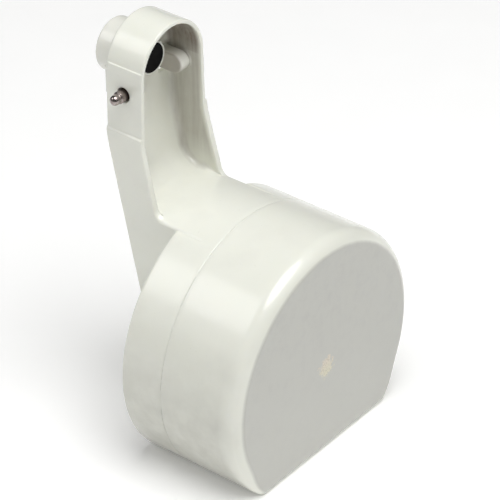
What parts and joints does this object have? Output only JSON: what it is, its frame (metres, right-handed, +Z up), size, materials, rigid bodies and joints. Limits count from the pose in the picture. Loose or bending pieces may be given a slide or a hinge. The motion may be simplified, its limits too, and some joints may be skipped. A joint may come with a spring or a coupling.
{
  "type": "float valve",
  "caption": "White plastic float valve: a D-shaped float on a hooded channel arm, hinged on steel studs to a short tapped inlet barrel with a nozzle and rubber seal.",
  "frame": {"origin": "under the middle of the part's box, on the surface that the float's flat underside stands on", "axes": "+X forward, towards the float's face, so the inlet points along -X; +Y across, along the hinge; +Z up"},
  "size_m": [0.0884, 0.095, 0.1417],
  "materials": {
    "float_plastic": "satin off-white moulded plastic",
    "body_plastic": "satin off-white moulded plastic",
    "foam": "closed-cell foam",
    "vent_resin": "set resin, dull",
    "seal_rubber": "black nitrile, dull",
    "ring_rubber": "black nitrile",
    "gasket_rubber": "dark grey rubber",
    "nozzle_brass": "turned brass",
    "strainer_steel": "perforated stainless sheet",
    "ring_steel": "stainless",
    "stud_steel": "turned stainless with water stain"
  },
  "bodies": {
    "valve_body": {"inlet_body": "body_plastic", "nozzle": "nozzle_brass", "nozzle_o_ring": "ring_rubber", "inlet_strainer": "strainer_steel", "strainer_ring": "ring_steel", "inlet_gasket": "gasket_rubber", "pivot_stud_left": "stud_steel", "pivot_stud_right": "stud_steel"},
    "float": {"float_arm": "float_plastic", "float_cap": "float_plastic", "foam_core": "foam", "vent_plug": "vent_resin", "seal_plug": "seal_rubber"}
  },
  "joints": [
    {"name": "float_hinge", "type": "hinge", "parent": "valve_body", "child": "float", "pos_m": [-0.0266, 0, 0.1198], "axis": [0, 1, 0], "range_deg": [0, 12]}
  ]
}
